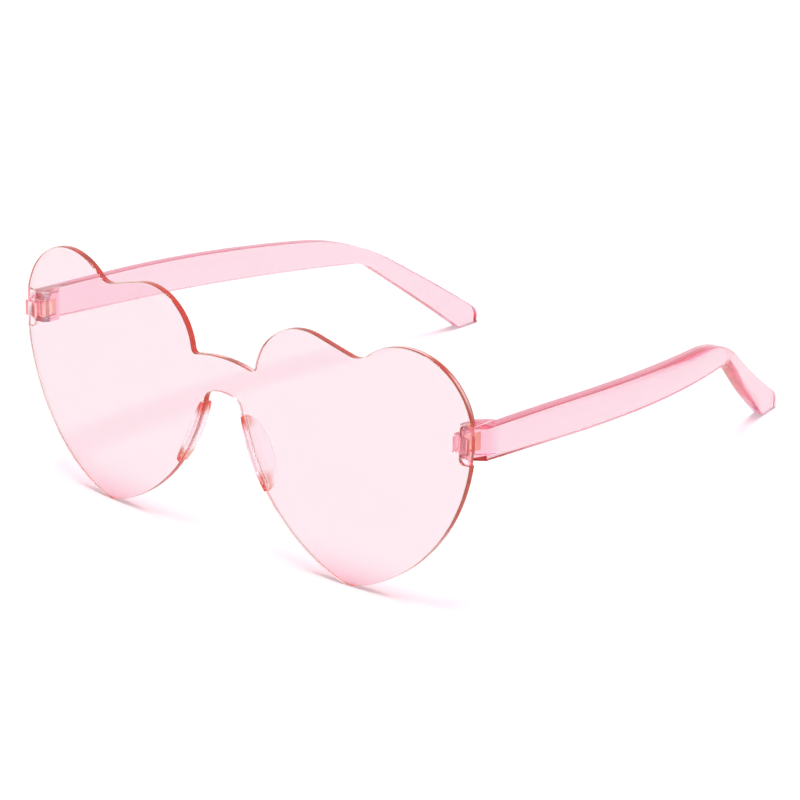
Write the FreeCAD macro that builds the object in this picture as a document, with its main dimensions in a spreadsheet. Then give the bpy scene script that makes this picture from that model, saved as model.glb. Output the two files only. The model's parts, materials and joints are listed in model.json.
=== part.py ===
import FreeCAD, Part
import math
import os

import Sketcher

# Heart shaped rimless sunglasses, in millimetres.
# Every piece is drawn in the worn frame: X across the face with the wearer's left at +X, Y to the back,
# Z up along the upright lens from the lowest point of the hearts. At the end the whole pair is leaned back
# until the hearts and the ear tips both stand on Z = 0.

SIZES = {
    # lens: one moulded shield, two hearts and a bridge
    "lens_half_width": 72.3,
    "lens_thickness": 1.8,
    "lens_radius": 600.0,
    "heart_height": 60.5,
    # outline of a heart, in shares of the half width so that it grows and shrinks with the lens
    "tip_offset_share": 0.545,
    "tip_radius_share": 0.135,
    "outer_flank_share": 0.6086,
    "outer_lobe_share": 0.2462,
    "inner_lobe_share": 0.2075,
    "inner_offset_share": 0.3458,
    "inner_drop_share": 0.0277,
    "cleft_radius_share": 0.0761,
    "cleft_depth_share": 0.0726,
    "nasal_flank_share": 0.635,
    "nose_gap_share": 0.083,
    "bridge_top_share": 0.5256,
    "bridge_corner_share": 0.0166,
    "arch_share": 0.166,
    "arch_corner_share": 0.0415,
    # heights of the bridge between the hearts
    "bridge_drop": 14.5,
    "bridge_height": 8.6,
    "nose_gap_drop": 3.8,
    # notch in each temporal edge and the endpiece clipped into it
    "hinge_drop": 19.0,
    "notch_depth": 3.1,
    "notch_height": 9.3,
    "notch_corner_radius": 1.2,
    "endpiece_height": 3.8,
    "endpiece_inset": 0.5,
    "clip_reach": 1.2,
    "clip_lip": 0.8,
    "seat_gap": 0.05,
    # hinge
    "knuckle_radius": 1.6,
    "knuckle_gap": 0.2,
    "fork_gap": 0.2,
    "fork_height": 7.2,
    "fork_length": 4.6,
    "front_gap": 0.4,
    "screw_radius": 0.6,
    "screw_gap": 0.05,
    "screw_head_radius": 1.05,
    "screw_head_height": 0.8,
    "screw_slot_width": 0.3,
    "screw_slot_depth": 0.35,
    # temple
    "temple_thickness": 3.0,
    "temple_proud": 0.9,
    "temple_length": 147.2,
    "temple_front_rise": 3.4,
    "temple_front_fall": 4.0,
    "temple_top_radius": 1200.0,
    "temple_top_fall": 4.1,
    "temple_bottom_angle": 2.7,
    "ear_length": 55.8,
    "bend_top_radius": 58.0,
    "bend_bottom_radius": 12.0,
    "ear_taper_angle": 4.3,
    "ear_end_height": 1.8,
    "ear_tip_radius": 4.0,
    "ear_foot_length": 6.6,
    "bow_start": 33.4,
    "bow_radius": 262.0,
    "flare_length": 25.5,
    "flare_radius": 100.0,
    "mitre": 2.1,
    "rest_tilt": 3.4,
    # nose pad, gripping the nasal edge of the lens
    "pad_drop": 5.2,
    "pad_length": 18.5,
    "pad_width": 2.0,
    "pad_recess": 1.0,
    "pad_lip": 0.4,
    "pad_wall": 1.1,
    "pad_reach": 3.0,
    "pad_flare": 1.8,
    "pad_taper": 4.6,
    "pad_edge_width": 1.0,
}


def share(name):
    """Expression of a length of the hearts' outline, from its share of the half width."""
    return f"(Sizes.lens_half_width * Sizes.{name}_share)"


# Places that several pieces share, written once from the sizes above.
LENS_BACK = (
    "(Sizes.lens_radius - sqrt((Sizes.lens_radius - Sizes.lens_thickness)^2 - Sizes.lens_half_width^2))"
)
TEMPLE_FRONT = f"({LENS_BACK} + Sizes.front_gap)"
TEMPLE_OUT = "(Sizes.lens_half_width + Sizes.temple_proud)"
TEMPLE_IN = f"({TEMPLE_OUT} - Sizes.temple_thickness)"
HINGE_X = f"({TEMPLE_IN} - Sizes.knuckle_gap - Sizes.knuckle_radius)"
HINGE_Y = f"({TEMPLE_FRONT} + Sizes.knuckle_radius)"
HINGE_Z = "(Sizes.heart_height - Sizes.hinge_drop)"
NOTCH_FLOOR = "(Sizes.lens_half_width - Sizes.notch_depth)"
BRIDGE_TOP = "(Sizes.heart_height - Sizes.bridge_drop)"
ARCH_TOP = f"({BRIDGE_TOP} - Sizes.bridge_height)"
TIP_BACK = (
    "(Sizes.lens_radius - sqrt((Sizes.lens_radius - Sizes.lens_thickness)^2"
    f" - {share('tip_offset')}^2))"
)
TEMPLE_END = f"({TEMPLE_FRONT} + Sizes.temple_length)"
FORK_LOW = f"({HINGE_Z} - Sizes.fork_height / 2)"
SLOT_LOW = f"({HINGE_Z} - Sizes.endpiece_height / 2 - Sizes.fork_gap)"
SLOT_HEIGHT = "(Sizes.endpiece_height + 2 * Sizes.fork_gap)"
HEAD_SEAT = f"({HINGE_Z} + Sizes.fork_height / 2 - Sizes.screw_head_height)"
SCREW_HOLE = "(Sizes.screw_radius + Sizes.screw_gap)"
NASAL_X = "(HeartOutline.Constraints.nasal_x / 1mm)"
NASAL_Z = "(HeartOutline.Constraints.nasal_z / 1mm)"
PAD_TOP = f"({ARCH_TOP} - Sizes.pad_drop)"
NASAL_RADIUS = share("nasal_flank")
PAD_LEAN = f"asin(({PAD_TOP} - {NASAL_Z}) / {NASAL_RADIUS})"
PAD_TURN = f"((Sizes.pad_length - Sizes.pad_width) / {NASAL_RADIUS} * 180 / pi)"
PAD_FAR = (
    f"({NASAL_X} - ({NASAL_RADIUS} - Sizes.pad_width)"
    f" * cos({PAD_TURN} * 1deg - {PAD_LEAN}))"
)
RECESS_RADIUS = f"({NASAL_RADIUS} + Sizes.pad_recess)"
RECESS_GAP = f"(Sizes.seat_gap / {NASAL_RADIUS} * 180 / pi)"
RECESS_TOP = f"({NASAL_Z} + {RECESS_RADIUS} * sin({PAD_LEAN} + {RECESS_GAP} * 1deg))"
PAD_BACK = (
    f"(Sizes.lens_radius - sqrt((Sizes.lens_radius - Sizes.lens_thickness)^2 - {PAD_FAR}^2) + Sizes.seat_gap)"
)

document = FreeCAD.newDocument("HeartSunglasses")
sheet = document.addObject("Spreadsheet::Sheet", "Sizes")
for row, (alias, number) in enumerate(SIZES.items(), start=1):
    sheet.set(f"A{row}", alias.replace("_", " "))
    sheet.set(f"B{row}", str(number))
    sheet.setAlias(f"B{row}", alias)
document.recompute()


def size(expression):
    """Number that an expression of the sheet's sizes comes to."""
    return float(sheet.evalExpression(expression))


def at(x, y):
    return FreeCAD.Vector(x, y, 0)


def meet(centre_a, reach_a, centre_b, reach_b, side):
    """Point at the two given distances from two centres, on the left (+1) or right (-1) of a to b."""
    along = centre_b - centre_a
    span = along.Length
    step = (span**2 + reach_a**2 - reach_b**2) / (2 * span)
    height = math.sqrt(reach_a**2 - step**2)
    along.normalize()
    return centre_a + along * step + at(-along.y, along.x) * (side * height)


def toward(start, goal, distance):
    """Point at a distance from start on the way to goal."""
    return start + (goal - start).normalize() * distance


class Outline:
    """Closed outline drawn edge after edge in a sketch; each edge starts where the last one ended."""

    def __init__(self, body, name, plane, offset=None):
        self.sketch = body.newObject("Sketcher::SketchObject", name)
        origin = next(feature for feature in body.Origin.OriginFeatures if feature.Role == plane)
        self.sketch.AttachmentSupport = [(origin, "")]
        self.sketch.MapMode = "FlatFace"
        if offset:
            self.sketch.setExpression("AttachmentOffset.Base.z", offset)
        self.ends = []

    def line(self, start, end):
        self.sketch.addGeometry(Part.LineSegment(start, end), False)
        self.ends.append((1, 2))
        return len(self.ends) - 1

    def arc(self, centre, start, end, clockwise=False):
        first, last = (end, start) if clockwise else (start, end)
        circle = Part.Circle(centre, FreeCAD.Vector(0, 0, 1), (start - centre).Length)
        angles = [math.atan2(point.y - centre.y, point.x - centre.x) for point in (first, last)]
        self.sketch.addGeometry(Part.ArcOfCircle(circle, *angles), False)
        self.ends.append((2, 1) if clockwise else (1, 2))
        return len(self.ends) - 1

    def close(self, smooth=()):
        """Join every edge to the next one, tangent where the edge is named as smooth."""
        for edge, (_, end) in enumerate(self.ends):
            after = (edge + 1) % len(self.ends)
            kind = "Tangent" if edge in smooth else "Coincident"
            joint = Sketcher.Constraint(kind, edge, end, after, self.ends[after][0])
            self.sketch.addConstraint(joint)

    def drive(self, name, kind, expression, *what):
        """Named dimension that follows an expression of the sheet."""
        index = self.sketch.addConstraint(Sketcher.Constraint(kind, *what, size(expression)))
        self.sketch.renameConstraint(index, name)
        self.sketch.setExpression(f"Constraints.{name}", expression)

    def radius(self, edge, expression):
        self.drive(f"radius_{edge}", "Radius", expression, edge)

    def place(self, edge, vertex, across=None, up=None):
        """Distances of a vertex (1 start, 2 end, 3 centre) from the sketch's origin."""
        if across is not None:
            self.drive(f"across_{edge}_{vertex}", "DistanceX", across, -1, 1, edge, vertex)
        if up is not None:
            self.drive(f"up_{edge}_{vertex}", "DistanceY", up, -1, 1, edge, vertex)

    def angle(self, edge, expression, *other):
        """Angle of a line to the horizontal, sweep of an arc, or turn from one line to another, in degrees."""
        turn = math.radians(size(expression))
        index = self.sketch.addConstraint(Sketcher.Constraint("Angle", edge, *other, turn))
        self.sketch.renameConstraint(index, f"angle_{edge}")
        self.sketch.setExpression(f"Constraints.angle_{edge}", expression)

    def measure(self, name, kind, edge, vertex, reading):
        """Named reading of a vertex's distance from the origin, for other sketches to follow."""
        index = self.sketch.addConstraint(Sketcher.Constraint(kind, -1, 1, edge, vertex, reading))
        self.sketch.setDriving(index, False)
        self.sketch.renameConstraint(index, name)

    def fix(self, kind, *what):
        self.sketch.addConstraint(Sketcher.Constraint(kind, *what))

    def rectangle(self, left, right, low, high):
        """Upright rectangle with its sides on four expressions."""
        corners = [at(size(x), size(y)) for x, y in ((left, low), (right, low), (right, high), (left, high))]
        edges = [self.line(corners[k], corners[(k + 1) % 4]) for k in range(4)]
        self.close()
        for edge in edges:
            self.fix("Horizontal" if edge % 2 == 0 else "Vertical", edge)
        self.place(edges[0], 1, left, low)
        self.place(edges[2], 1, right, high)


def heart_outline(body):
    """Half of the shield from the middle of the bridge round one heart and back, as lobes, flanks and tip."""
    names = [alias.removesuffix("_share") for alias in SIZES if alias.endswith("_share")]
    v = {name: size(share(name)) for name in names}
    half_width, height = size("Sizes.lens_half_width"), size("Sizes.heart_height")
    top, arch = size(BRIDGE_TOP), size(ARCH_TOP)
    bridge = at(0, top - v["bridge_top"])
    vault = at(0, arch - v["arch"])
    inner = at(v["inner_offset"], height - v["inner_drop"] - v["inner_lobe"])
    tip = at(v["tip_offset"], v["tip_radius"])
    flank_x = half_width - v["outer_flank"]
    reach = v["outer_flank"] - v["tip_radius"]
    flank = at(flank_x, tip.y + math.sqrt(reach**2 - (flank_x - tip.x) ** 2))
    outer_y = height - v["outer_lobe"]
    reach = v["outer_flank"] - v["outer_lobe"]
    outer = at(flank.x + math.sqrt(reach**2 - (outer_y - flank.y) ** 2), outer_y)
    cleft_y = height - v["cleft_depth"] + v["cleft_radius"]
    reach = v["outer_lobe"] + v["cleft_radius"]
    cleft = at(outer.x - math.sqrt(reach**2 - (cleft_y - outer.y) ** 2), cleft_y)
    nose = at(v["nose_gap"], arch - size("Sizes.nose_gap_drop"))
    nasal = nasal_centre()
    corner = meet(
        bridge, v["bridge_top"] + v["bridge_corner"],
        inner, v["inner_lobe"] + v["bridge_corner"], 1,
    )
    notch = meet(
        vault, v["arch"] - v["arch_corner"],
        nasal, v["nasal_flank"] + v["arch_corner"], 1,
    )
    # the straight from the inner lobe into the cleft crosses between the two circles
    gap = cleft - inner
    lean = math.atan2(gap.y, gap.x) + math.acos((v["inner_lobe"] + v["cleft_radius"]) / gap.Length)
    normal = at(math.cos(lean), math.sin(lean))
    joints = [
        at(0, top),
        toward(bridge, corner, v["bridge_top"]),
        toward(inner, corner, v["inner_lobe"]),
        inner + normal * v["inner_lobe"],
        cleft - normal * v["cleft_radius"],
        toward(outer, cleft, v["outer_lobe"]),
        toward(flank, outer, v["outer_flank"]),
        toward(flank, tip, v["outer_flank"]),
        toward(nasal, tip, v["nasal_flank"]),
        toward(nasal, notch, v["nasal_flank"]),
        toward(vault, notch, v["arch"]),
        at(0, arch),
    ]
    outline = Outline(body, "HeartOutline", "XZ_Plane")
    outline.arc(bridge, joints[0], joints[1], clockwise=True)
    outline.arc(corner, joints[1], joints[2])
    outline.arc(inner, joints[2], joints[3], clockwise=True)
    outline.line(joints[3], joints[4])
    outline.arc(cleft, joints[4], joints[5])
    outline.arc(outer, joints[5], joints[6], clockwise=True)
    outline.arc(flank, joints[6], joints[7], clockwise=True)
    outline.arc(tip, joints[7], joints[8], clockwise=True)
    outline.arc(nasal, joints[8], joints[9], clockwise=True)
    outline.arc(notch, joints[9], joints[10])
    outline.arc(vault, joints[10], joints[11])
    seam = outline.line(joints[11], joints[0])
    outline.close(smooth=range(10))
    radii = {
        0: "bridge_top", 1: "bridge_corner", 2: "inner_lobe", 4: "cleft_radius", 5: "outer_lobe",
        6: "outer_flank", 7: "tip_radius", 8: "nasal_flank", 9: "arch_corner", 10: "arch",
    }
    for edge, name in radii.items():
        outline.radius(edge, share(name))
    for edge, vertex in ((0, 3), (10, 3), (seam, 1), (seam, 2)):
        outline.fix("PointOnObject", edge, vertex, -2)
    outline.place(seam, 1, up=ARCH_TOP)
    outline.place(seam, 2, up=BRIDGE_TOP)
    top_of_heart = "Sizes.heart_height"
    outline.place(2, 3, share("inner_offset"), f"{top_of_heart} - {share('inner_drop')} - {share('inner_lobe')}")
    outline.place(4, 3, up=f"{top_of_heart} - {share('cleft_depth')} + {share('cleft_radius')}")
    outline.place(5, 3, up=f"{top_of_heart} - {share('outer_lobe')}")
    outline.place(6, 3, across=f"Sizes.lens_half_width - {share('outer_flank')}")
    outline.place(7, 3, share("tip_offset"), share("tip_radius"))
    # the nasal flank passes this point of the nose gap
    mark = outline.sketch.addGeometry(Part.Point(nose), True)
    outline.place(mark, 1, share("nose_gap"), f"{ARCH_TOP} - Sizes.nose_gap_drop")
    outline.fix("PointOnObject", mark, 1, 8)
    outline.measure("nasal_x", "DistanceX", 8, 3, nasal.x)
    outline.measure("nasal_z", "DistanceY", 8, 3, nasal.y)
    return outline.sketch


def nasal_centre():
    """Centre of the arc of the nasal edge, from the tip of the heart and the nose gap."""
    tip = at(size(share("tip_offset")), size(share("tip_radius")))
    nose = at(size(share("nose_gap")), size(f"{ARCH_TOP} - Sizes.nose_gap_drop"))
    flank = size(NASAL_RADIUS)
    return meet(tip, flank - tip.y, nose, flank, -1)


def new_body(label):
    body = document.addObject("PartDesign::Body", label.title().replace("_", ""))
    body.Label = label
    return body


def grow(body, name, sketch, length, reverse=False, symmetric=False):
    """Pad a sketch by a length; reverse runs it against the sketch's normal."""
    pad = body.newObject("PartDesign::Pad", name)
    pad.Profile = sketch
    pad.SideType = "Symmetric" if symmetric else "One side"
    pad.Reversed = reverse
    pad.setExpression("Length", length)
    document.recompute()
    return pad


def remove(body, name, kind, sketch, settings, expressions):
    """Pocket or groove that must take material away."""
    before = body.Shape.Volume
    cut = body.newObject(f"PartDesign::{kind}", name)
    cut.Profile = sketch
    for setting, choice in settings.items():
        setattr(cut, setting, choice)
    for setting, expression in expressions.items():
        cut.setExpression(setting, expression)
    document.recompute()
    if not body.Shape.Volume < before:
        raise RuntimeError(f"{name} removed nothing")
    return cut


def circle(body, name, offset, radius):
    """Circle round the hinge axis at a height."""
    outline = Outline(body, name, "XY_Plane", offset)
    centre = at(size(HINGE_X), size(HINGE_Y))
    outline.sketch.addGeometry(Part.Circle(centre, FreeCAD.Vector(0, 0, 1), size(radius)), False)
    outline.place(0, 3, HINGE_X, HINGE_Y)
    outline.radius(0, radius)
    return outline.sketch


def bent_slot(body, name, offset, top, outer, width, turn):
    """Round-ended band along the nasal edge, in front view: outer radius, width and sweep."""
    outline = Outline(body, name, "XZ_Plane", offset)
    centre = at(size(NASAL_X), size(NASAL_Z))
    outside, inside = size(outer), size(f"{outer} - {width}")
    start = math.pi + math.asin((centre.y - size(top)) / outside)
    rays = [at(math.cos(angle), math.sin(angle)) for angle in (start, start + math.radians(size(turn)))]
    middle = (outside + inside) / 2
    outline.arc(centre, centre + rays[0] * outside, centre + rays[1] * outside)
    outline.arc(centre + rays[1] * middle, centre + rays[1] * outside, centre + rays[1] * inside)
    outline.arc(centre, centre + rays[1] * inside, centre + rays[0] * inside, clockwise=True)
    outline.arc(centre + rays[0] * middle, centre + rays[0] * inside, centre + rays[0] * outside)
    outline.close(smooth=range(4))
    outline.place(0, 3, NASAL_X, NASAL_Z)
    outline.radius(0, outer)
    outline.place(0, 1, up=top)
    outline.angle(0, turn)
    outline.fix("Coincident", 2, 3, 0, 3)
    outline.radius(2, f"{outer} - {width}")
    return outline.sketch


def bent_bar(body, name, offset, top, outer, inner, turn):
    """Band along the nasal edge with radial ends, in front view."""
    outline = Outline(body, name, "XZ_Plane", offset)
    centre = at(size(NASAL_X), size(NASAL_Z))
    start = math.pi + math.asin((centre.y - size(top)) / size(outer))
    rays = [at(math.cos(angle), math.sin(angle)) for angle in (start, start + math.radians(size(turn)))]
    corners = [centre + ray * size(radius) for ray in rays for radius in (outer, inner)]
    outline.arc(centre, corners[0], corners[2])
    outline.line(corners[2], corners[3])
    outline.arc(centre, corners[3], corners[1], clockwise=True)
    outline.line(corners[1], corners[0])
    outline.close()
    outline.place(0, 3, NASAL_X, NASAL_Z)
    outline.radius(0, outer)
    outline.place(0, 1, up=top)
    outline.angle(0, turn)
    outline.fix("Coincident", 2, 3, 0, 3)
    outline.radius(2, inner)
    outline.fix("PointOnObject", 0, 3, 1)
    outline.fix("PointOnObject", 0, 3, 3)
    return outline.sketch


def lens_shell_cut(body, name, near, far):
    """Cut away a layer of the blank, between two depths, on the lens's own curve."""
    outline = Outline(body, f"{name}Section", "YZ_Plane")
    outline.rectangle(near, far, "-Sizes.lens_thickness", "Sizes.heart_height + Sizes.lens_thickness")
    radius = size("Sizes.lens_radius")
    axis = Part.LineSegment(at(radius, 0), at(radius, size("Sizes.heart_height")))
    line = outline.sketch.addGeometry(axis, True)
    outline.place(line, 1, "Sizes.lens_radius", "0")
    outline.place(line, 2, "Sizes.lens_radius", "Sizes.heart_height")
    remove(
        body, name, "Groove", outline.sketch,
        {"ReferenceAxis": (outline.sketch, ["Axis0"]), "Midplane": True},
        {"Angle": "4 * asin(Sizes.lens_half_width / Sizes.lens_radius)"},
    )


def make_lens():
    """Shield: a blank of half the outline, hollowed to the curve in front and behind, then mirrored."""
    body = new_body("lens_shield")
    depth = f"({LENS_BACK} + Sizes.lens_thickness)"
    blank = heart_outline(body)
    document.recompute()
    grow(body, "Blank", blank, f"2 * {depth}", symmetric=True)
    lens_shell_cut(body, "FrontCurve", f"-3 * {depth}", "0")
    lens_shell_cut(body, "BackCurve", "Sizes.lens_thickness", f"2 * {depth}")
    through = {"SideType": "Symmetric"}
    notch = notch_outline(body, "NotchOutline", "Sizes.lens_half_width + Sizes.notch_depth")
    remove(body, "HingeNotch", "Pocket", notch, through, {"Length": f"4 * {depth}"})
    recess = bent_bar(
        body, "PadRecessOutline", None, RECESS_TOP, RECESS_RADIUS,
        f"{NASAL_RADIUS} - Sizes.pad_recess", f"{PAD_TURN} + 2 * {RECESS_GAP}",
    )
    remove(body, "PadRecess", "Pocket", recess, through, {"Length": f"4 * {depth}"})
    mirrored = body.newObject("PartDesign::Mirrored", "BothHearts")
    mirrored.TransformMode = "Whole shape"
    middle = next(feature for feature in body.Origin.OriginFeatures if feature.Role == "YZ_Plane")
    mirrored.MirrorPlane = (middle, [""])
    body.Tip = mirrored
    document.recompute()
    return body


def notch_outline(body, name, outer, gap="0", offset=None):
    """Notch in the temporal edge with rounded inner corners, or the plug that sits in it with a gap."""
    floor_x = f"{NOTCH_FLOOR} + {gap}"
    low_z = f"{HINGE_Z} - Sizes.notch_height / 2 + {gap}"
    high_z = f"{HINGE_Z} + Sizes.notch_height / 2 - {gap}"
    rounding = f"Sizes.notch_corner_radius - {gap}"
    floor, rim = size(floor_x), size(outer)
    low, high = size(low_z), size(high_z)
    bend = size(rounding)
    outline = Outline(body, name, "XZ_Plane", offset)
    outline.line(at(floor + bend, low), at(rim, low))
    outline.line(at(rim, low), at(rim, high))
    outline.line(at(rim, high), at(floor + bend, high))
    outline.arc(at(floor + bend, high - bend), at(floor + bend, high), at(floor, high - bend))
    outline.line(at(floor, high - bend), at(floor, low + bend))
    outline.arc(at(floor + bend, low + bend), at(floor, low + bend), at(floor + bend, low))
    outline.close(smooth=(2, 3, 4, 5))
    for edge, way in ((0, "Horizontal"), (1, "Vertical"), (2, "Horizontal"), (4, "Vertical")):
        outline.fix(way, edge)
    outline.place(0, 2, outer, low_z)
    outline.place(2, 1, up=high_z)
    outline.place(4, 1, across=floor_x)
    outline.radius(3, rounding)
    outline.radius(5, rounding)
    return outline.sketch


def make_nose_pad():
    """Pad with a slot that grips the nasal edge and a flared leaf behind it."""
    body = new_body("nose_pad_left")
    rim = NASAL_RADIUS
    band = bent_slot(body, "BandOutline", f"-{PAD_BACK}", PAD_TOP, rim, "Sizes.pad_width", PAD_TURN)
    grow(body, "Band", band, "Sizes.pad_wall", reverse=True)
    spine = bent_bar(
        body, "SpineOutline", "Sizes.pad_lip", PAD_TOP, rim,
        f"{rim} - Sizes.pad_recess + Sizes.seat_gap", PAD_TURN,
    )
    grow(body, "Spine", spine, f"Sizes.pad_lip + {PAD_BACK} + Sizes.pad_wall", reverse=True)
    lip = bent_slot(body, "LipOutline", "Sizes.pad_lip", PAD_TOP, rim, "Sizes.pad_width", PAD_TURN)
    grow(body, "Lip", lip, "Sizes.pad_lip - Sizes.seat_gap", reverse=True)
    root = bent_slot(
        body, "LeafRoot", f"-{PAD_BACK} - Sizes.pad_wall", PAD_TOP, rim, "Sizes.pad_width", PAD_TURN
    )
    edge = bent_slot(
        body, "LeafEdge", f"-{PAD_BACK} - Sizes.pad_wall - Sizes.pad_reach", f"{PAD_TOP} - Sizes.pad_taper",
        f"{rim} - Sizes.pad_flare", "Sizes.pad_edge_width",
        f"{PAD_TURN} - 2 * Sizes.pad_taper / {rim} * 180 / pi",
    )
    document.recompute()
    leaf = body.newObject("PartDesign::AdditiveLoft", "Leaf")
    leaf.Profile = root
    leaf.Sections = [edge]
    leaf.Ruled = True
    document.recompute()
    return body


def make_endpiece():
    """Clip that grips the lens, plugs the notch and carries the middle knuckle, drawn in plan."""
    body = new_body("endpiece_left")
    lens = "Sizes.lens_radius"
    front = f"{lens} + Sizes.seat_gap + Sizes.clip_lip"
    slot_front = f"{lens} + Sizes.seat_gap"
    slot_back = f"{lens} - Sizes.lens_thickness - Sizes.seat_gap"
    web_back = f"{lens} - Sizes.lens_thickness"
    outer = "Sizes.lens_half_width - Sizes.endpiece_inset"
    web = f"{NOTCH_FLOOR} + Sizes.seat_gap"
    lip = f"{NOTCH_FLOOR} - Sizes.clip_reach"
    side_out = f"{HINGE_X} + Sizes.knuckle_radius"
    side_in = f"{HINGE_X} - Sizes.knuckle_radius"

    def on_curve(across, radius):
        return at(size(across), size(f"{lens} - sqrt(({radius})^2 - ({across})^2)"))

    curve = at(0, size(lens))
    pin = at(size(HINGE_X), size(HINGE_Y))
    points = [
        on_curve(lip, front), on_curve(outer, front), on_curve(outer, web_back), on_curve(side_out, web_back),
        at(size(side_out), pin.y), at(size(side_in), pin.y), on_curve(side_in, slot_back),
        on_curve(web, slot_back), on_curve(web, slot_front), on_curve(lip, slot_front),
    ]
    outline = Outline(body, "EndpiecePlan", "XY_Plane", f"{HINGE_Z} - Sizes.endpiece_height / 2")
    arcs = {0: (curve, False), 2: (curve, True), 4: (pin, False), 6: (curve, False), 8: (curve, True)}
    for edge, start in enumerate(points):
        end = points[(edge + 1) % len(points)]
        if edge in arcs:
            centre, clockwise = arcs[edge]
            outline.arc(centre, start, end, clockwise)
        else:
            outline.line(start, end)
            outline.fix("Vertical", edge)
    outline.close(smooth=(3, 4))
    for edge, radius in ((0, front), (2, web_back), (6, slot_back), (8, slot_front)):
        outline.radius(edge, radius)
        outline.fix("PointOnObject", edge, 3, -2)
        outline.place(edge, 3, up=lens)
    outline.radius(4, "Sizes.knuckle_radius")
    outline.place(4, 3, HINGE_X, HINGE_Y)
    outline.place(1, 1, across=outer)
    outline.place(7, 1, across=web)
    outline.place(9, 1, across=lip)
    document.recompute()
    grow(body, "Clip", outline.sketch, "Sizes.endpiece_height")
    plug_front = f"({lens} - sqrt({lens}^2 - Sizes.lens_half_width^2))"
    plug_back = f"({lens} - sqrt(({lens} - Sizes.lens_thickness)^2 - {NOTCH_FLOOR}^2))"
    plug = notch_outline(body, "PlugOutline", outer, "Sizes.seat_gap", f"-{plug_front}")
    document.recompute()
    grow(body, "Plug", plug, f"{plug_back} - {plug_front}", reverse=True)
    bore =circle(body, "BoreOutline", f"{HINGE_Z} - Sizes.endpiece_height / 2", SCREW_HOLE)
    remove(body, "Bore", "Pocket", bore, {"Reversed": True}, {"Length": "Sizes.endpiece_height"})
    return body


def temple_side(body):
    """Side view of a temple: long blade, bend behind the ear, dropped tip and its flat foot."""
    front, end = size(TEMPLE_FRONT), size(TEMPLE_END)
    high = f"{HINGE_Z} + Sizes.temple_front_rise"
    low = f"{HINGE_Z} - Sizes.temple_front_fall"
    bend = f"{TEMPLE_END} - Sizes.ear_length"
    bend_high = f"{high} - Sizes.temple_top_fall"
    foot = f"{TEMPLE_END} - Sizes.ear_foot_length"
    # the floor in the worn frame runs from the hearts' lowest back edge up to the feet of the temples
    heel_up = f"({TEMPLE_END} - {TIP_BACK}) * tan(Sizes.rest_tilt)"
    toe_up = f"({foot} - {TIP_BACK}) * tan(Sizes.rest_tilt)"
    tip_up = f"{heel_up} + Sizes.ear_end_height"

    first, second = at(front, size(high)), at(size(bend), size(bend_high))
    top = meet(first, size("Sizes.temple_top_radius"), second, size("Sizes.temple_top_radius"), -1)
    curl = toward(second, top, size("Sizes.bend_top_radius"))
    bend_radius, tip_radius = size("Sizes.bend_top_radius"), size("Sizes.ear_tip_radius")
    tip = at(end - tip_radius, size(tip_up))
    # the straight of the ear piece touches the bend and the round of the tip from above
    drop = tip - curl
    lean = math.atan2(drop.y, drop.x) + math.acos((bend_radius - tip_radius) / drop.Length)
    normal = at(math.cos(lean), math.sin(lean))
    leave, round_start = curl + normal * bend_radius, tip + normal * tip_radius
    heel, toe = at(end, size(heel_up)), at(size(foot), size(toe_up))
    under = math.pi / 2 - lean + math.radians(size("Sizes.ear_taper_angle"))
    belly = math.radians(size("Sizes.temple_bottom_angle"))
    base = at(front, size(low))
    crook = size("Sizes.bend_bottom_radius")
    under_normal = at(-math.sin(under), -math.cos(under))
    belly_normal = at(-math.sin(belly), -math.cos(belly))
    # centre of the inner bend lies one radius below both lower edges
    a, b = toe + under_normal * crook, base + belly_normal * crook
    climb = at(-math.cos(under), math.sin(under))
    fall = at(math.cos(belly), -math.sin(belly))
    step = ((b.x - a.x) * fall.y - (b.y - a.y) * fall.x) / (climb.x * fall.y - climb.y * fall.x)
    inside = a + climb * step

    outline = Outline(body, "SideOutline", "YZ_Plane")
    outline.arc(top, first, second, clockwise=True)
    outline.arc(curl, second, leave, clockwise=True)
    outline.line(leave, round_start)
    outline.arc(tip, round_start, at(end, tip.y), clockwise=True)
    outline.line(at(end, tip.y), heel)
    outline.line(heel, toe)
    outline.line(toe, inside - under_normal * crook)
    outline.arc(inside, inside - under_normal * crook, inside - belly_normal * crook)
    outline.line(inside - belly_normal * crook, base)
    outline.line(base, first)
    outline.close(smooth=(0, 1, 2, 3, 6, 7))
    radii = {0: "temple_top_radius", 1: "bend_top_radius", 3: "ear_tip_radius", 7: "bend_bottom_radius"}
    for edge, alias in radii.items():
        outline.radius(edge, f"Sizes.{alias}")
    outline.fix("Vertical", 4)
    outline.fix("Vertical", 9)
    outline.place(9, 2, TEMPLE_FRONT, high)
    outline.place(9, 1, up=low)
    outline.place(0, 1, bend, bend_high)
    outline.place(3, 3, up=tip_up)
    outline.place(5, 1, TEMPLE_END, heel_up)
    outline.place(5, 2, foot, toe_up)
    outline.angle(2, "180 - Sizes.ear_taper_angle", 6)
    outline.angle(8, "180 - Sizes.temple_bottom_angle")
    return outline.sketch


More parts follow.
